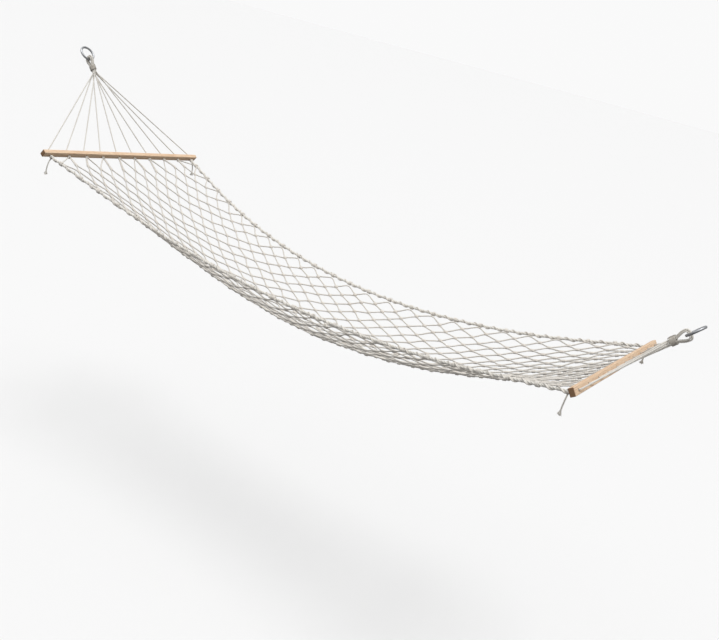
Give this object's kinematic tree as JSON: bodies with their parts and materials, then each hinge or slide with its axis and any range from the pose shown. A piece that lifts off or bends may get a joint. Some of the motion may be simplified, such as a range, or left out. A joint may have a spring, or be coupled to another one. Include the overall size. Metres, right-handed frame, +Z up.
{
  "type": "rope-net hammock with spreader bars",
  "caption": "Knotted cotton rope-net hammock with wooden spreader bars, fanned harness cords and steel hanging rings, hung level and sagging under its own weight.",
  "frame": {"origin": "centre of the head ring's eye, where the hook goes", "axes": "+X from the head ring to the foot ring, +Y across the hammock to the left of somebody who looks along +X, +Z up"},
  "size_m": [2.6677, 0.8, 0.6903],
  "materials": {
    "zinc_steel": "dull zinc-plated round wire",
    "pine": "sanded, uncoated pine",
    "harness_cord": "twisted natural cotton cord",
    "edge_rope": "twisted natural cotton rope",
    "net_cord": "twisted natural cotton cord, knotted",
    "binding_twine": "tight turns of cotton twine"
  },
  "bodies": {
    "head_hook_ring": {"head_ring": "zinc_steel"},
    "hammock_bed": {"bed_net": "net_cord", "foot_binding": "binding_twine", "foot_harness_cord_1": "harness_cord", "foot_harness_cord_2": "harness_cord", "foot_harness_cord_3": "harness_cord", "foot_harness_cord_4": "harness_cord", "foot_harness_cord_5": "harness_cord", "foot_left_tail": "edge_rope", "foot_net_end_loops": "net_cord", "foot_right_tail": "edge_rope", "foot_stopper_knots": "edge_rope", "head_binding": "binding_twine", "head_harness_cord_1": "harness_cord", "head_harness_cord_2": "harness_cord", "head_harness_cord_3": "harness_cord", "head_harness_cord_4": "harness_cord", "head_harness_cord_5": "harness_cord", "head_left_tail": "edge_rope", "head_net_end_loops": "net_cord", "head_right_tail": "edge_rope", "head_stopper_knots": "edge_rope", "left_edge_rope": "edge_rope", "right_edge_rope": "edge_rope"},
    "head_bar": {"head_spreader_bar": "pine"},
    "foot_bar": {"foot_spreader_bar": "pine"},
    "foot_hook_ring": {"foot_ring": "zinc_steel"}
  },
  "joints": [
    {"name": "swing", "type": "hinge", "parent": "head_hook_ring", "child": "hammock_bed", "pos_m": [0, 0, 0], "axis": [0.9981, 0, -0.0618], "range_deg": [-25, 25]},
    {"name": "foot_ring_swing", "type": "hinge", "parent": "hammock_bed", "child": "foot_hook_ring", "pos_m": [2.62149, 0, -0.16236], "axis": [0.9981, 0, -0.0618], "range_deg": [-25, 25]},
    {"name": "head_bar_roll", "type": "hinge", "parent": "hammock_bed", "child": "head_bar", "pos_m": [0.31645, 0, -0.33935], "axis": [0, 1, 0], "range_deg": [-6, 6], "stiffness_Nm_per_rad": 0.5},
    {"name": "foot_bar_roll", "type": "hinge", "parent": "hammock_bed", "child": "foot_bar", "pos_m": [2.45645, 0, -0.33935], "axis": [0, 1, 0], "range_deg": [-6, 6], "stiffness_Nm_per_rad": 0.5}
  ],
  "couplings": [
    {"joint": "foot_ring_swing", "follows": "swing", "ratio": -1}
  ]
}
